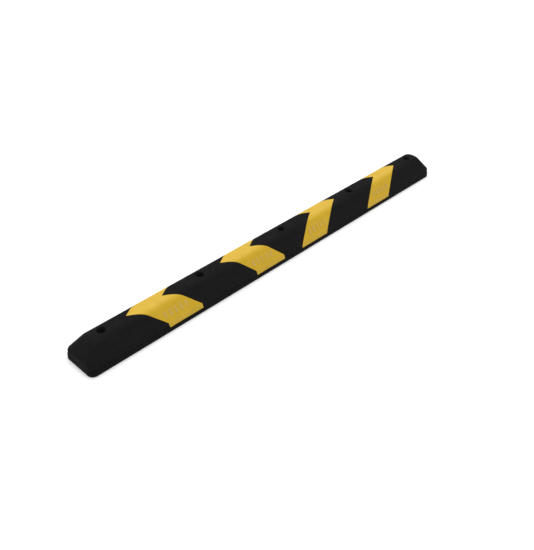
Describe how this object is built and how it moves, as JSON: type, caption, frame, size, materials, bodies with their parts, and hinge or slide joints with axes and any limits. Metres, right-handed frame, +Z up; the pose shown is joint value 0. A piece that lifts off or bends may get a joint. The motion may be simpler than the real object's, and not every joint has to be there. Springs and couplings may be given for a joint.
{
  "type": "parking wheel stop",
  "caption": "Low moulded rubber wheel stop with sloped faces, hipped ends, flush yellow chevron inlays and counterbored anchor holes, laid across the end of a parking bay.",
  "frame": {"origin": "middle of the footprint, on the ground", "axes": "+X along the bar, +Y towards its far long side as the car's wheels meet the near one, +Z up"},
  "size_m": [1.83, 0.146, 0.095],
  "materials": {
    "black_rubber": "matte moulded rubber with fine crumb grain",
    "yellow_rubber": "satin yellow inlay, slightly grained",
    "zinc_steel": "zinc plated"
  },
  "bodies": {
    "root": {"rubber_body": "black_rubber", "chevron_left_outer": "yellow_rubber", "chevron_left_inner": "yellow_rubber", "chevron_right_inner": "yellow_rubber", "chevron_right_outer": "yellow_rubber", "anchor_washer_1": "zinc_steel", "anchor_washer_2": "zinc_steel", "anchor_washer_3": "zinc_steel", "anchor_washer_4": "zinc_steel", "anchor_washer_5": "zinc_steel"}
  },
  "joints": []
}
